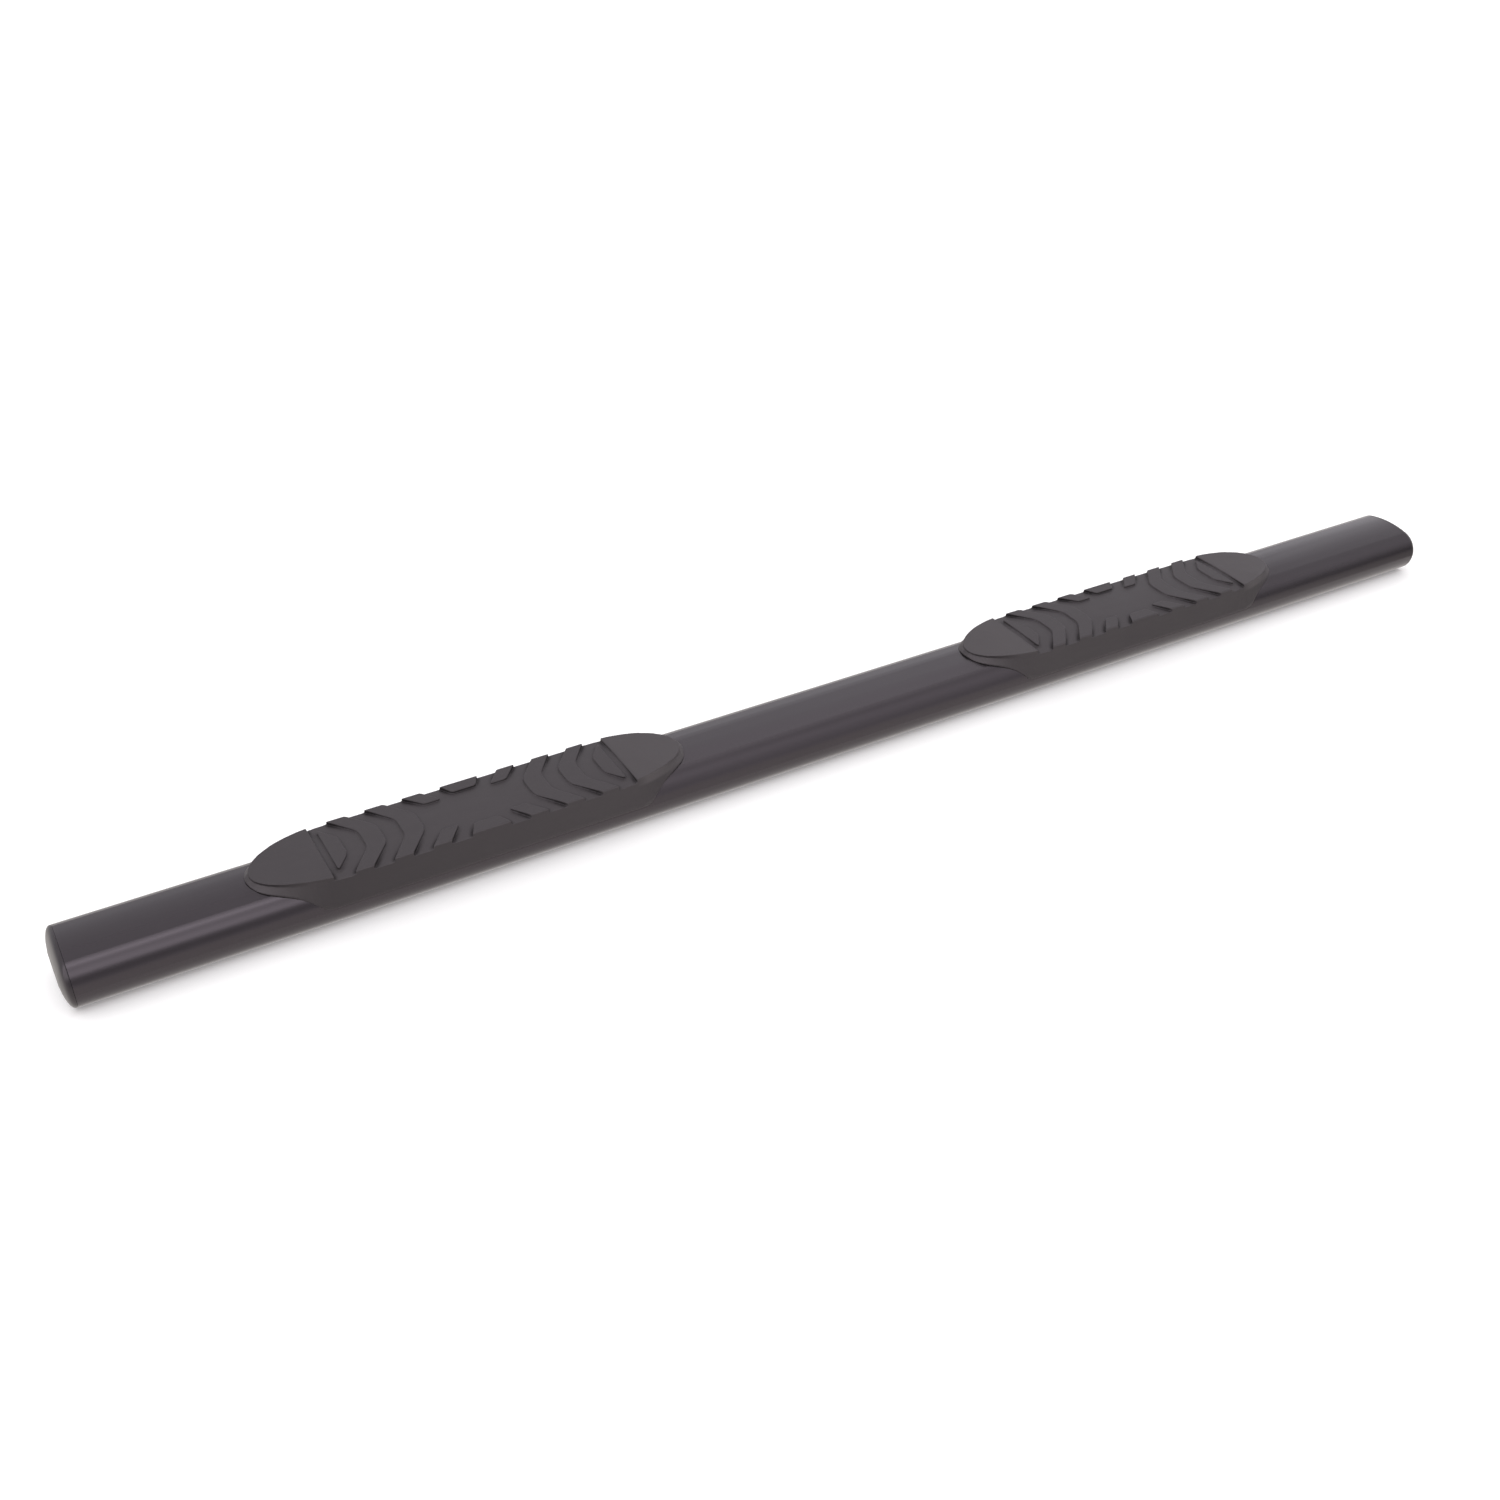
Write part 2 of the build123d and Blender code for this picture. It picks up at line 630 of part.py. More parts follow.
def make_skirt_tape(pad_x):
    """Adhesive strips that hold both skirts against the tube's sides."""
    with BuildPart() as tape:
        with BuildSketch(Plane.YZ.offset(pad_x - tape_length / 2)):
            make_face(oval_loop(tape_thick))
            make_face(oval_loop(), mode=Mode.SUBTRACT)
            with Locations((0, tape_mid_z)):
                Rectangle(200, tape_high_z - tape_low_z, mode=Mode.INTERSECT)
        extrude(amount=tape_length)
    return tape.part


single_clip = make_clip()
seal_pair = make_seal_pair()
for place, pad_x in pad_places.items():
    pad_clip_spots = [(pad_x + x, y, 0) for x, y in clip_spots]
    save(copies_at(single_clip, pad_clip_spots), place + "_pad_clips")
    save(copies_at(seal_pair, [(pad_x + x, 0, 0) for x in clip_x]), place + "_clip_seals")
    save(make_pad_foam(pad_x), place + "_pad_foam")
    save(make_skirt_tape(pad_x), place + "_skirt_tape")
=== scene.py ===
"""Looks, floor, light and camera for a long black bar with a step pad near each end.

The bar lies along X with its front end towards -X and its rear end towards +X. +Z is up and
the -Y side faces the camera. Lengths are in metres, and the CAD box stands on the floor.
"""
import json
import math

import bpy
import bmesh
from mathutils import Matrix, Vector


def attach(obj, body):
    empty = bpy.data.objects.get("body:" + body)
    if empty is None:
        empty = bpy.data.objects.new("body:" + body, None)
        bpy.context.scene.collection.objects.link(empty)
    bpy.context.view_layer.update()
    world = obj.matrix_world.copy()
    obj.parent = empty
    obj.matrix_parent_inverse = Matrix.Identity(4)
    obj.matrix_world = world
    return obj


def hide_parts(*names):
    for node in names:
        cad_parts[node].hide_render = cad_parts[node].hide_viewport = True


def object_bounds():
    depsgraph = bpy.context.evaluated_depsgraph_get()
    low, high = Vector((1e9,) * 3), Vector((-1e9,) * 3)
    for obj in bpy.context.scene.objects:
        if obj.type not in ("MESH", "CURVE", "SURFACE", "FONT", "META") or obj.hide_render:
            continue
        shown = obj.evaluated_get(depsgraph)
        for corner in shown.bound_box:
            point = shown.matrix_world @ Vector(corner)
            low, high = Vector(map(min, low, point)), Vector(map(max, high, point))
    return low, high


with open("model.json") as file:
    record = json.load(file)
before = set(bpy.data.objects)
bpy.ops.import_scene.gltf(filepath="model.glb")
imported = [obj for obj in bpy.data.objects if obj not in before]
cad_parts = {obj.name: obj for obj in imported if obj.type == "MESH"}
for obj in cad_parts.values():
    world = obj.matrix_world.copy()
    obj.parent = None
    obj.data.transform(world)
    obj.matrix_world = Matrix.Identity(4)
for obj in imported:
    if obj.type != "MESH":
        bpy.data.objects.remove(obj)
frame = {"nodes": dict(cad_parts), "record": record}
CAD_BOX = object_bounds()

nodes = frame["nodes"]

BLACK = (0, 0, 0)
WHITE = (1, 1, 1)


# ------------------------------------------------------------------ shader helpers
def tone(colour, gain):
    """The colour made lighter or darker by a gain."""
    return tuple(channel * gain for channel in colour)


class Shader:
    """The node tree of a material or world, ending in one surface shader.

    Any value given to a node may be a number, a tuple or another node's output socket.
    """

    def __init__(self, owner, output="ShaderNodeOutputMaterial",
                 surface="ShaderNodeBsdfPrincipled"):
        owner.use_nodes = True
        self.owner = owner
        self.tree = owner.node_tree
        self.tree.nodes.clear()
        end = self.add(output)
        self.surface = self.add(surface)
        self.tree.links.new(self.surface.outputs[0], end.inputs["Surface"])

    def fill(self, node, inputs):
        for key, value in inputs.items():
            socket = node.inputs[key]
            if isinstance(value, bpy.types.NodeSocket):
                self.tree.links.new(value, socket)
            elif socket.type == "RGBA":
                socket.default_value = (*value, 1.0)
            else:
                socket.default_value = value

    def finish(self, inputs):
        """Set inputs of the surface shader."""
        self.fill(self.surface, inputs)

    def add(self, kind, inputs=None, **settings):
        node = self.tree.nodes.new(kind)
        for key, value in settings.items():
            setattr(node, key, value)
        self.fill(node, inputs or {})
        return node

    def coords(self, scale=(1, 1, 1)):
        """Object coordinates; a small scale on one axis draws textures out along it."""
        source = self.add("ShaderNodeTexCoord").outputs["Object"]
        return self.add("ShaderNodeMapping", {"Scale": scale, "Vector": source}).outputs["Vector"]

    def split(self, vector):
        """The x, y and z of a vector."""
        return tuple(self.add("ShaderNodeSeparateXYZ", {"Vector": vector}).outputs)

    def noise(self, vector, scale, detail=2.0, rough=0.5, distortion=0.0):
        return self.add("ShaderNodeTexNoise", {
            "Scale": scale, "Detail": detail, "Roughness": rough,
            "Distortion": distortion, "Vector": vector,
        }).outputs["Fac"]

    def voronoi(self, vector, scale, feature="F1"):
        inputs = {"Scale": scale, "Vector": vector}
        return self.add("ShaderNodeTexVoronoi", inputs, feature=feature).outputs["Distance"]

    def ramp(self, value, stops):
        """Colour ramp; stops are (position, colour)."""
        node = self.add("ShaderNodeValToRGB", {"Fac": value})
        elements = node.color_ramp.elements
        while len(elements) < len(stops):
            elements.new(0.5)
        for element, (position, colour) in zip(elements, stops):
            element.position = position
            element.color = (*colour, 1.0)
        return node.outputs["Color"]

    def remap(self, value, to=(0.0, 1.0), over=(0.0, 1.0), **settings):
        """Carry the span `over` onto the span `to`, clamped; either may run backwards."""
        return self.add("ShaderNodeMapRange", {
            "From Min": over[0], "From Max": over[1],
            "To Min": to[0], "To Max": to[1], "Value": value,
        }, **settings).outputs["Result"]

    def math(self, operation, first, *others):
        """Apply a two-value operation from left to right."""
        for other in others:
            node = self.add("ShaderNodeMath", {0: first, 1: other}, operation=operation)
            first = node.outputs["Value"]
        return first

    def product(self, *values):
        return self.math("MULTIPLY", *values)

    def absolute(self, value):
        return self.math("ABSOLUTE", value, 0.0)

    def mix(self, factor, under, over, blend="MIX", amount=None):
        """Lay one colour over another; `amount` scales the factor."""
        if amount is not None:
            factor = self.product(factor, amount)
        inputs = {"Factor": factor, 6: under, 7: over}  # 6 and 7 are the colour sockets
        node = self.add("ShaderNodeMix", inputs, data_type="RGBA", blend_type=blend)
        return node.outputs[2]

    def tinted(self, colour, filter_colour):
        return self.mix(1.0, colour, filter_colour, blend="MULTIPLY")

    def bump(self, height, distance, strength, below=None):
        inputs = {"Strength": strength, "Distance": distance, "Height": height}
        if below is not None:
            inputs["Normal"] = below
        return self.add("ShaderNodeBump", inputs).outputs["Normal"]


def new_material(name):
    return Shader(bpy.data.materials.new(name))


# ------------------------------------------------------------------ materials
def powder_coat():
    """Semi-gloss black powder coat: orange peel, faint mottling, a few dust specks."""
    mat = new_material("powder_coat")
    position = mat.coords()
    along = mat.coords(scale=(0.15, 1.0, 1.0))
    cloud = mat.noise(position, scale=9.0, detail=4.0, rough=0.55)
    drawn = mat.noise(along, scale=140.0, detail=3.0, rough=0.6)
    peel = mat.noise(position, scale=520.0, detail=2.0, rough=0.45)
    fine = mat.noise(position, scale=2600.0, detail=2.0, rough=0.6)
    specks = mat.ramp(mat.voronoi(position, scale=210.0), [(0.0, WHITE), (0.035, BLACK)])

    base = mat.mix(cloud, (0.0155, 0.0132, 0.0150), (0.0195, 0.0166, 0.0185))
    streaks = mat.remap(drawn, to=(0.0, 0.35), over=(0.35, 0.75))
    base = mat.mix(streaks, base, (0.0215, 0.0185, 0.0205))
    base = mat.mix(mat.remap(specks, to=(0.0, 0.10)), base, (0.09, 0.088, 0.085))
    rough = mat.math("ADD", mat.remap(cloud, to=(0.20, 0.25)),
                     mat.remap(drawn, to=(-0.015, 0.02)), mat.remap(specks, to=(0.0, 0.15)))
    relief = mat.bump(peel, distance=0.00006, strength=0.55)
    relief = mat.bump(fine, distance=0.000015, strength=0.5, below=relief)
    mat.finish({
        "Base Color": base,
        "Roughness": rough,
        "Normal": relief,
        "IOR": 1.5,
        "Specular Tint": (1.0, 0.885, 0.96),
    })
    return mat.owner


def moulded(name, dark, light, roughness, grain_scale, grain_depth):
    """Moulded black polymer with spark-eroded grain, complete but for its base colour.

    Returns the shader, its coordinates, the cloud noise and the colour so far.
    """
    mat = new_material(name)
    position = mat.coords()
    cloud = mat.noise(position, scale=14.0, detail=5.0, rough=0.6)
    flow = mat.noise(mat.coords(scale=(0.35, 1.0, 1.0)),
                     scale=60.0, detail=3.0, rough=0.5, distortion=0.4)
    cells = mat.voronoi(position, scale=grain_scale, feature="SMOOTH_F1")
    grit = mat.noise(position, scale=grain_scale * 2.3, detail=3.0, rough=0.65)

    base = mat.mix(cloud, dark, light)
    flow_lines = mat.remap(flow, to=(0.0, 0.30), over=(0.4, 0.75))
    base = mat.mix(flow_lines, base, tone(light, 1.18))
    pits = mat.remap(cells, to=(0.0, 0.25), over=(0.1, 0.8))
    base = mat.mix(pits, base, tone(dark, 0.72))

    relief = mat.bump(cells, distance=grain_depth, strength=0.6)
    relief = mat.bump(grit, distance=grain_depth * 0.45, strength=0.6, below=relief)
    mat.finish({
        "Roughness": mat.math("ADD", mat.remap(cloud, to=roughness),
                              mat.remap(grit, to=(-0.03, 0.03))),
        "Normal": relief,
        "IOR": 1.49,
        "Specular Tint": (1.0, 0.90, 0.95),
    })
    return mat, position, cloud, base


def cap_plastic():
    """End caps, the rear one made paler by a painted reflection."""
    mat, position, cloud, base = moulded(
        "cap_plastic", dark=(0.0130, 0.0115, 0.0125), light=(0.0170, 0.0150, 0.0160),
        roughness=(0.30, 0.38), grain_scale=1500.0, grain_depth=0.00003)
    x, _, _ = mat.split(position)
    # painted reflection: the rear cap is made paler, more so in cloudy patches
    rear_cap_sheen = mat.product(mat.remap(x, over=(1.0, 1.1)), mat.remap(cloud, to=(0.6, 1.0)))
    mat.finish({"Base Color": mat.mix(rear_cap_sheen, base, (0.046, 0.041, 0.040))})
    return mat.owner


PAD_DARK = (0.0245, 0.0218, 0.0228)
PAD_LIGHT = (0.0310, 0.0278, 0.0285)
PADS_MIDPOINT_X = -0.03775   # halfway between the two pads
PAD_OFFSET = 0.56525         # from there to the middle of either pad


def pad_plastic():
    """Step pads, with paler rubbed edges and paler nose tops, painted sheen on the sloping
    shoulders and painted shade at the foot of the tread bars, on the flanks and on the front
    noses' walls.
    """
    mat, position, _, base = moulded(
        "pad_plastic", dark=PAD_DARK, light=PAD_LIGHT,
        roughness=(0.54, 0.64), grain_scale=1150.0, grain_depth=0.00010)

    # edges rubbed in patches
    geometry = mat.add("ShaderNodeNewGeometry")
    rub = mat.ramp(geometry.outputs["Pointiness"], [(0.515, BLACK), (0.62, WHITE)])
    patch = mat.remap(mat.noise(position, scale=55.0, detail=4.0, rough=0.6),
                      to=(0.2, 1.0), over=(0.35, 0.65))
    base = mat.mix(mat.product(rub, patch), base, tone(PAD_LIGHT, 2.3), amount=0.25)

    # distance from the pad's own middle, growing towards the rear on both pads
    _, facing_y, facing_z = mat.split(geometry.outputs["True Normal"])
    x, y, z = mat.split(position)
    from_midpoint = mat.math("ADD", x, -PADS_MIDPOINT_X)
    from_centre = mat.math("SUBTRACT", mat.absolute(from_midpoint), PAD_OFFSET)
    along_pad = mat.product(from_centre, mat.math("SIGN", from_midpoint, 0.0))
    front_nose = mat.remap(along_pad, over=(-0.245, -0.285))
    rear_nose = mat.remap(along_pad, over=(0.215, 0.235))

    # painted sheen: shoulders that lean outwards are made paler
    lean = mat.ramp(facing_z, [(0.28, BLACK), (0.42, WHITE), (0.70, WHITE), (0.86, BLACK)])
    base = mat.mix(lean, base, tone(PAD_LIGHT, 1.75), amount=0.42)

    # painted shade: the long flanks are darker towards the front end of the bar
    front_flank_shade = mat.product(mat.remap(mat.absolute(facing_y), over=(0.90, 0.97)),
                        mat.remap(x, to=(1.0, 0.0), over=(-0.85, -0.45)))
    base = mat.mix(front_flank_shade, base, tone(PAD_DARK, 0.70), amount=0.9)

    # flat tops of the noses are made paler, all but the foremost one
    on_nose = mat.remap(mat.absolute(along_pad), over=(0.212, 0.222))
    level = mat.absolute(facing_z)
    pale_nose_tops = mat.product(on_nose, mat.remap(x, over=(-0.75, -0.40)),
                         mat.remap(level, over=(0.90, 0.97)))
    base = mat.mix(pale_nose_tops, base, tone(PAD_LIGHT, 1.28))

    # painted sheen: the sloping upper part of each rear nose is made paler
    rear_nose_sheen = mat.product(rear_nose, mat.remap(level, to=(1.0, 0.0), over=(0.70, 0.92)),
                       mat.remap(z, over=(0.0730, 0.0765)))
    base = mat.mix(rear_nose_sheen, base, tone(PAD_LIGHT, 1.75), amount=0.9)

    # painted shade on the low upright wall round each front nose
    nose_wall_shade = mat.product(mat.remap(level, to=(1.0, 0.0), over=(0.25, 0.50)),
                       mat.remap(z, over=(0.0800, 0.0812)), front_nose)

    # painted shade at the foot of the tread bars, deepest where the grooves reach the long edges
    foot = mat.add("ShaderNodeAmbientOcclusion", {"Distance": 0.007},
                   samples=8, only_local=True).outputs["AO"]
    recess_shade = mat.ramp(foot, [(0.45, WHITE), (0.90, BLACK)])
    pocket_shade = mat.ramp(foot, [(0.66, WHITE), (0.97, BLACK)])
    outer = mat.remap(mat.absolute(y), over=(0.030, 0.050))
    raised = mat.remap(z, over=(0.0785, 0.0800))
    off_flank = mat.remap(mat.absolute(facing_y), to=(1.0, 0.0), over=(0.75, 0.92))
    pocket_shade = mat.product(pocket_shade, outer, raised, off_flank)
    nose_wall_shade_strength = 0.6  # strength of the painted shade on the wall against that in the grooves
    recess_shade = mat.math("MAXIMUM", recess_shade, pocket_shade, mat.product(nose_wall_shade, nose_wall_shade_strength))
    # the painted shade darkens the colour here and dims the reflection below
    base = mat.mix(recess_shade, base, tone(PAD_DARK, 0.25), amount=0.88)
    mat.finish({
        "Specular IOR Level": mat.remap(recess_shade, to=(0.5, 0.06)),
        "Base Color": base,
    })
    return mat.owner


def plated_steel(name, dark, light, metallic=1.0):
    """Zinc-plated or blackened steel with rolling marks."""
    mat = new_material(name)
    position = mat.coords()
    rolled = mat.noise(mat.coords(scale=(0.06, 1.0, 1.0)), scale=900.0, detail=4.0, rough=0.6)
    bloom = mat.noise(position, scale=70.0, detail=5.0, rough=0.6)
    base = mat.mix(bloom, dark, light)
    mat.finish({
        "Base Color": mat.mix(mat.remap(rolled, to=(0.0, 0.35)), base, tone(dark, 0.7)),
        "Roughness": mat.remap(rolled, to=(0.28, 0.48)),
        "Metallic": metallic,
        "Normal": mat.bump(rolled, distance=0.00002, strength=0.5),
    })
    return mat.owner


def foam_rubber(name, dark, light, cell_scale):
    """Closed-cell foam or acrylic foam tape."""
    mat = new_material(name)
    position = mat.coords()
    cells = mat.voronoi(position, scale=cell_scale)
    cloud = mat.noise(position, scale=40.0, detail=3.0, rough=0.5)
    base = mat.mix(cloud, dark, light)
    pits = mat.remap(cells, to=(0.0, 0.4), over=(0.0, 0.6))
    mat.finish({
        "Base Color": mat.mix(pits, base, tone(dark, 0.6)),
        "Roughness": mat.remap(cloud, to=(0.8, 0.92)),
        "Normal": mat.bump(cells, distance=0.00008, strength=0.7),
    })
    return mat.owner


def nylon():
    """Off-white, slightly translucent nylon."""
    mat = new_material("nylon")
    position = mat.coords()
    cloud = mat.noise(position, scale=90.0, detail=4.0, rough=0.5)
    grain = mat.noise(position, scale=1500.0, detail=2.0)
    mat.finish({
        "Base Color": mat.mix(cloud, (0.56, 0.53, 0.45), (0.68, 0.65, 0.57)),
        "Roughness": mat.remap(cloud, to=(0.36, 0.48)),
        "Subsurface Weight": 0.08,
        "Subsurface Radius": (0.002, 0.0018, 0.0014),
        "Normal": mat.bump(grain, distance=0.00002, strength=0.4),
    })
    return mat.owner


MATERIALS = {
    "powder_coat": powder_coat(),
    "cap_plastic": cap_plastic(),
    "pad_plastic": pad_plastic(),
    "bare_steel": plated_steel("bare_steel", dark=(0.42, 0.41, 0.38), light=(0.58, 0.57, 0.52)),
    "black_steel": plated_steel("black_steel", dark=(0.020, 0.020, 0.021),
                                light=(0.032, 0.031, 0.031), metallic=0.6),
    "nylon": nylon(),
    "foam": foam_rubber("foam", dark=(0.030, 0.030, 0.032), light=(0.045, 0.045, 0.048),
                        cell_scale=1400.0),
    "tape": foam_rubber("tape", dark=(0.07, 0.07, 0.075), light=(0.10, 0.10, 0.105),
                        cell_scale=2200.0),
}
SLOTS = {part["node"]: part["material_slot"] for part in frame["record"]["subparts"]}

for name, part in nodes.items():
    part.data.materials.clear()
    part.data.materials.append(MATERIALS[SLOTS[name]])


# ------------------------------------------------------------------ step pads
PAD_VOXEL = 0.0008      # mesh spacing of the rebuilt skin
PAD_EASE_ROUNDS = 2     # smoothing passes that round the edges
PAD_KEEP = 0.30         # share of the faces kept afterwards


def moulded_pad(name, node):
    """The pad as a moulding: the CAD solid's skin rebuilt as an even mesh, then eased so that
    every edge and inside corner has the small radius a mould gives it."""
    piece = bpy.data.objects.new(name, nodes[node].data.copy())
    bpy.context.scene.collection.objects.link(piece)
    solid = piece.data
    bm = bmesh.new()
    bm.from_mesh(solid)
    bmesh.ops.remove_doubles(bm, verts=bm.verts, dist=1e-6)
    bm.to_mesh(solid)
    bm.free()

    skin = piece.modifiers.new("skin", "REMESH")
    skin.mode = "VOXEL"
    skin.voxel_size = PAD_VOXEL
    skin.adaptivity = 0.0
    ease = piece.modifiers.new("ease", "SMOOTH")
    ease.factor = 0.5
    ease.iterations = PAD_EASE_ROUNDS
    thin = piece.modifiers.new("thin", "DECIMATE")
    thin.decimate_type = "COLLAPSE"
    thin.ratio = PAD_KEEP

    depsgraph = bpy.context.evaluated_depsgraph_get()
    mesh = bpy.data.meshes.new_from_object(piece.evaluated_get(depsgraph), depsgraph=depsgraph)
    piece.modifiers.clear()
    piece.data = mesh
    bpy.data.meshes.remove(solid)
    mesh.materials.clear()
    mesh.materials.append(MATERIALS["pad_plastic"])
    mesh.polygons.foreach_set("use_smooth", [True] * len(mesh.polygons))
    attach(piece, "root")
    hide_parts(node)


moulded_pad("front_pad_moulding", "front_step_pad")
moulded_pad("rear_pad_moulding", "rear_step_pad")


# ------------------------------------------------------------------ floor
FLOOR_HALF_SIZE = 16.0
FLOOR_SEGMENTS = 24
FLOOR_GAP = 0.0002          # below the lowest point of the CAD
SHADE_HALF_LENGTH = 1.105   # taken off |x|, so the contact shade also follows the bar's ends


def contact_shade(mat, x, y):
    """Soft shade right beside the bar, reaching further out near its rear end."""
    aside = mat.math("MAXIMUM", mat.absolute(y),
                     mat.math("SUBTRACT", mat.absolute(x), SHADE_HALF_LENGTH))
    near = mat.ramp(mat.remap(aside, over=(0.044, 0.060)),
                    [(0.0, (0.74, 0.73, 0.73)), (0.42, (0.93, 0.92, 0.92)), (0.85, WHITE)])
    tail = mat.ramp(mat.remap(aside, over=(0.048, 0.095)),
                    [(0.0, (0.92, 0.915, 0.917)), (1.0, WHITE)])
    rear = mat.remap(x, over=(0.70, 0.95))
    return mat.mix(rear, near, mat.tinted(near, tail))


def dark_gap(mat):
    """Mask of the dark gap that reflections find low down past the rear end."""
    incoming = mat.add("ShaderNodeNewGeometry").outputs["Incoming"]
    x, y, z = mat.split(incoming)
    side_gain = 1.0  # stretches the view's lean to the side
    lean = mat.math("ARCTAN2", mat.product(y, side_gain), z)
    low = mat.remap(lean, over=(0.0, math.pi / 2))
    # last number in each product: the strength of that part
    gap = mat.ramp(low, [(0.38, BLACK), (0.68, WHITE)])
    gap = mat.product(gap, mat.remap(x, over=(-0.700, -0.722)), 0.90)
    rim = mat.ramp(low, [(0.74, BLACK), (0.96, WHITE)])
    rim = mat.product(rim, mat.remap(x, over=(-0.62, -0.68)), 0.45)
    return mat.math("MAXIMUM", gap, rim)


def floor_paper():
    """Pale paper, also glowing as a light table does so that shadows stay faint.

    Reflections see a darker base with a stronger, slightly warmer glow.
    """
    mat = new_material("floor_paper")
    position = mat.coords()
    cloud = mat.noise(position, scale=1.2, detail=3.0, rough=0.5)
    paper = mat.mix(cloud, (0.905, 0.897, 0.900), (0.925, 0.917, 0.920))
    x, y, _ = mat.split(position)
    shade = contact_shade(mat, x, y)
    reflected = mat.add("ShaderNodeLightPath").outputs["Is Glossy Ray"]
    gap = dark_gap(mat)
    mirror_paper = mat.mix(gap, (0.20, 0.19, 0.18), (0.05, 0.045, 0.04))
    mirror_glow = mat.mix(gap, (0.90, 0.865, 0.84), (0.12, 0.11, 0.10))
    paper = mat.tinted(paper, shade)
    paper_glow = mat.tinted(shade, (0.25, 0.245, 0.246))
    mat.finish({
        "Base Color": mat.mix(reflected, paper, mirror_paper),
        "Emission Color": mat.mix(reflected, paper_glow, mirror_glow),
        "Emission Strength": 1.0,
        "Roughness": 0.85,
        "Specular IOR Level": 0.2,
    })
    return mat.owner


def plain_floor():
    mesh = bpy.data.meshes.new("floor")
    bm = bmesh.new()
    bmesh.ops.create_grid(bm, x_segments=FLOOR_SEGMENTS, y_segments=FLOOR_SEGMENTS,
                          size=FLOOR_HALF_SIZE)
    bm.to_mesh(mesh)
    bm.free()
    floor = bpy.data.objects.new("floor", mesh)
    floor.location = (0, 0, CAD_BOX[0].z - FLOOR_GAP)
    bpy.context.scene.collection.objects.link(floor)
    mesh.materials.append(floor_paper())


plain_floor()


# ------------------------------------------------------------------ light
# Brightness of the room around the bar's own axis, as (degrees, level): 90 is the horizon
# on the +Y side, 0 straight above, -90 the horizon on the -Y side.
ROOM_FRONT_END = [
    (90, 0.86), (75, 0.90), (60, 0.90), (45, 0.95), (35, 0.97), (28, 0.98), (20, 1.00),
    (14, 1.40), (9, 3.95), (3, 4.00), (-4, 2.60), (-11, 2.05), (-18, 2.15), (-26, 2.60),
    (-36, 2.95), (-43, 2.75), (-50, 1.25), (-57, 0.65), (-64, 0.40), (-74, 0.45),
    (-84, 0.75), (-90, 0.90),
]
ROOM_MIDDLE = [
    (90, 1.04), (70, 1.04), (58, 1.05), (50, 1.10), (44, 1.28), (36, 1.46), (28, 1.58),
    (18, 1.66), (10, 1.36), (1, 1.08), (-6, 1.10), (-16, 1.28), (-28, 1.50), (-38, 1.50),
    (-48, 1.36), (-62, 1.22), (-76, 1.02), (-84, 1.06), (-90, 1.18),
]
ROOM_REAR_END = [
    (90, 0.96), (70, 0.93), (56, 0.91), (40, 0.94), (31, 0.90), (22, 0.83), (8, 0.90),
    (-6, 1.06), (-20, 1.14), (-34, 1.12), (-46, 1.00), (-56, 0.82), (-66, 0.56),
    (-76, 0.36), (-84, 0.36), (-90, 0.50),
]
ROOM_PAST_REAR = [
    (90, 1.75), (78, 1.48), (68, 1.20), (60, 1.04), (52, 0.96), (42, 0.93), (32, 0.86),
    (24, 0.76), (8, 0.80), (-8, 0.88), (-22, 0.94), (-34, 0.92), (-46, 0.78), (-56, 0.58),
    (-66, 0.30), (-76, 0.12), (-84, 0.05), (-90, 0.06),
]
ROOMS = (ROOM_FRONT_END, ROOM_MIDDLE, ROOM_REAR_END, ROOM_PAST_REAR)
# spans of the direction's X over which each room gives way to the next
ROOM_BLENDS = ((0.14, 0.34), (0.50, 0.68), (0.702, 0.722))
ROOM_PEAK = 4.0               # level that a ramp's white stands for
ROOM_TINT = (0.995, 0.975, 1.03)
ROOM_EVEN = 1.19              # what lights the floor and the matt side of every surface
ROOM_EVEN_TINT = (1.0, 0.995, 1.0)


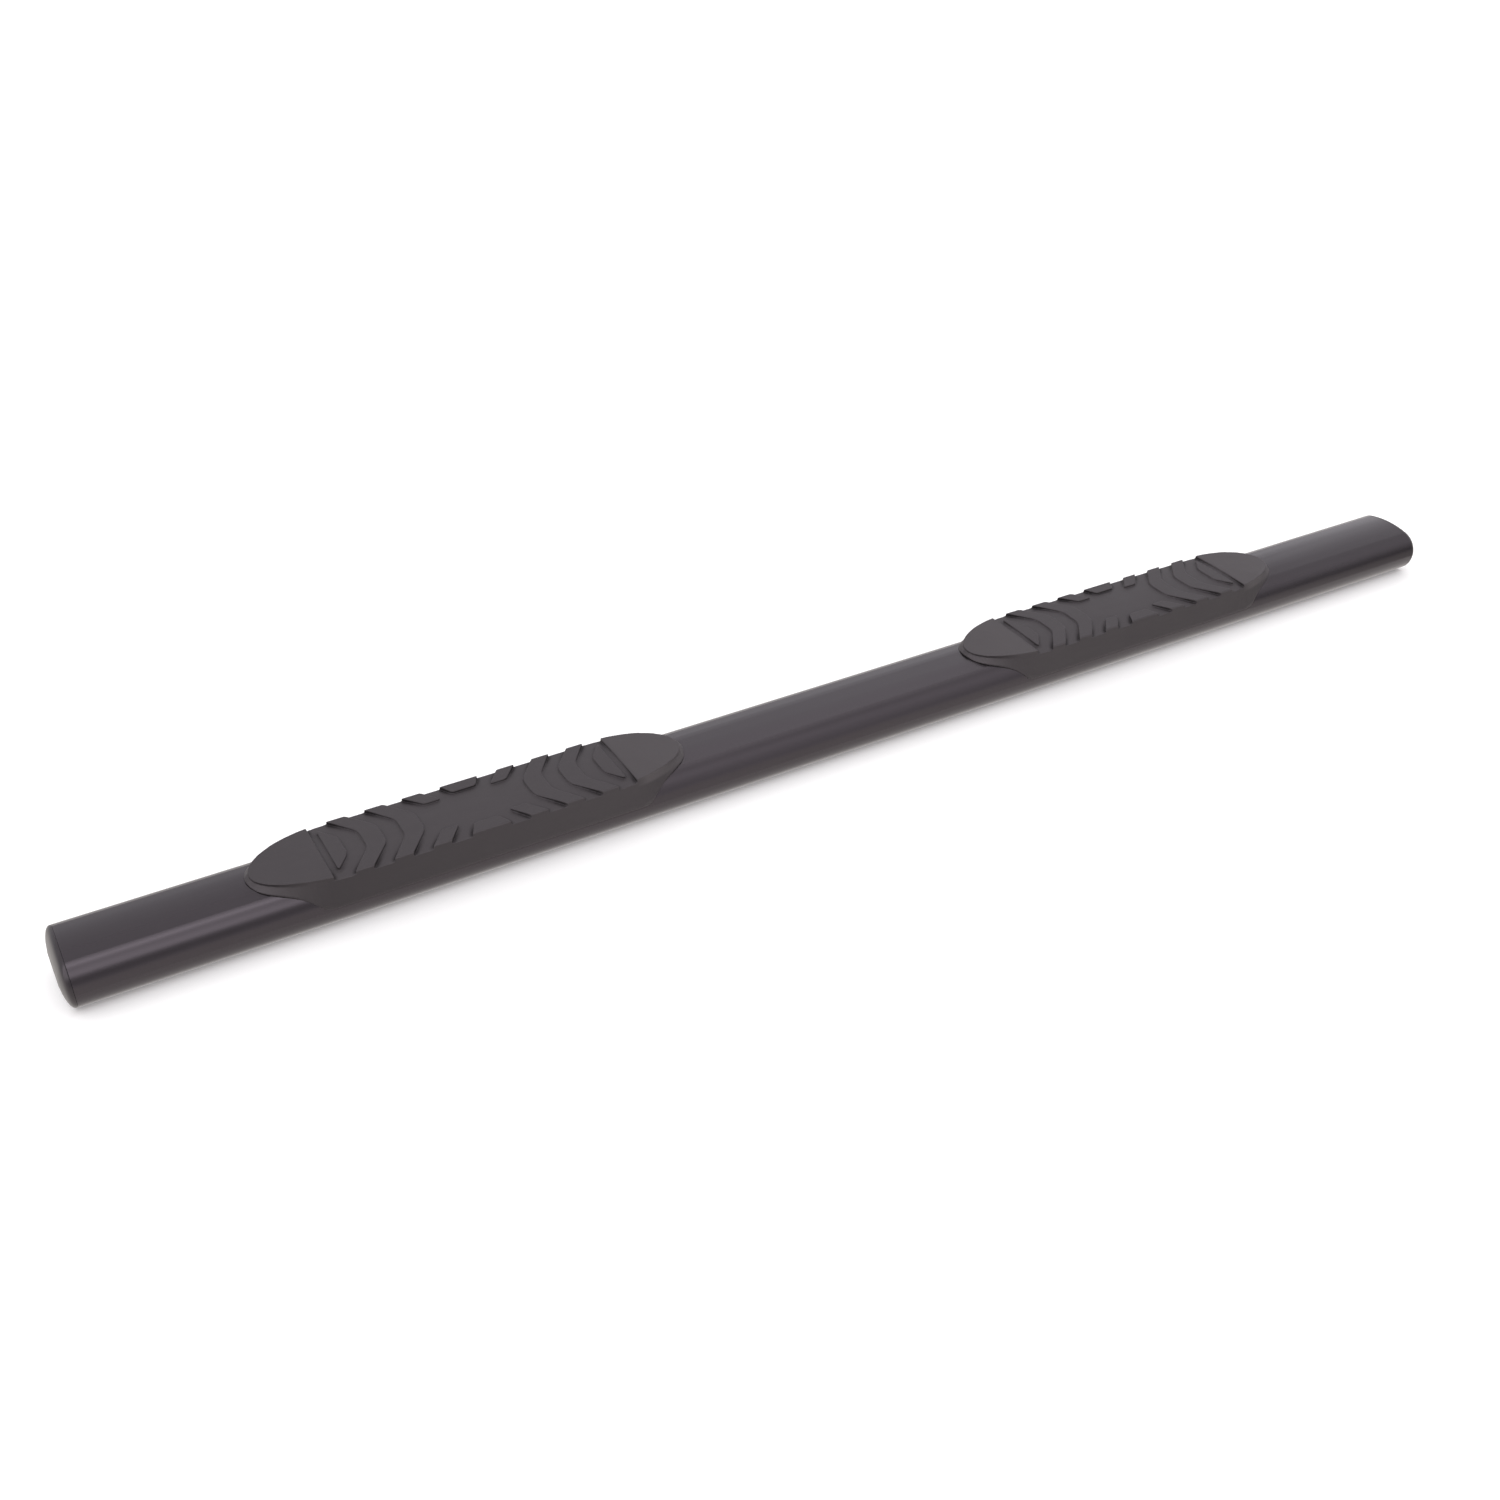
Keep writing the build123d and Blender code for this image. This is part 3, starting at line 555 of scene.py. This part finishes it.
def studio_world():
    """A pale studio: even light all round, with the soft panels and darker gaps of the room
    seen only in reflections."""
    world = bpy.data.worlds.new("studio")
    bpy.context.scene.world = world
    sky = Shader(world, output="ShaderNodeOutputWorld", surface="ShaderNodeBackground")
    x, y, z = sky.split(sky.add("ShaderNodeTexCoord").outputs["Generated"])
    around = sky.remap(sky.math("ARCTAN2", y, z), over=(-math.pi / 2, math.pi / 2))
    levels = []
    for room in ROOMS:
        stops = sorted(((degrees + 90.0) / 180.0, (level / ROOM_PEAK,) * 3)
                       for degrees, level in room)
        levels.append(sky.ramp(around, stops))
    shaped = levels[0]
    for level, span in zip(levels[1:], ROOM_BLENDS):
        blend = sky.remap(x, over=span, interpolation_type="SMOOTHSTEP")
        shaped = sky.mix(blend, shaped, level)
    shaped = sky.tinted(shaped, tone(ROOM_TINT, ROOM_PEAK))
    reflected = sky.add("ShaderNodeLightPath").outputs["Is Glossy Ray"]
    seen = sky.mix(reflected, tone(ROOM_EVEN_TINT, ROOM_EVEN), shaped)
    sky.finish({"Color": seen, "Strength": 1.0})


studio_world()


# ------------------------------------------------------------------ camera
CAMERA_PLACE = (-1.18285, -1.74629, 1.41238)
CAMERA_YAW = 0.524442     # radians from +Y towards +X
CAMERA_PITCH = 0.601361   # radians below the horizon
CAMERA_ROLL = 0.003838    # radians about the view direction
SENSOR_WIDTH = 36.0       # mm
LENS = 39.6216            # mm


def camera():
    yaw, pitch, roll = CAMERA_YAW, CAMERA_PITCH, CAMERA_ROLL
    forward = Vector((math.sin(yaw) * math.cos(pitch), math.cos(yaw) * math.cos(pitch),
                      -math.sin(pitch)))
    level_right = Vector((math.cos(yaw), -math.sin(yaw), 0.0))
    level_up = level_right.cross(forward)
    right = math.cos(roll) * level_right + math.sin(roll) * level_up
    up = -math.sin(roll) * level_right + math.cos(roll) * level_up
    data = bpy.data.cameras.new("camera")
    data.sensor_fit = "HORIZONTAL"
    data.sensor_width = SENSOR_WIDTH
    data.lens = LENS
    data.clip_start = 0.05
    data.clip_end = 100.0
    cam = bpy.data.objects.new("camera", data)
    pose = Matrix((right, up, -forward)).transposed().to_4x4()
    pose.translation = CAMERA_PLACE
    cam.matrix_world = pose
    bpy.context.scene.collection.objects.link(cam)
    bpy.context.scene.camera = cam


camera()
bpy.context.scene.view_settings.view_transform = "Standard"
bpy.context.scene.view_settings.look = "None"
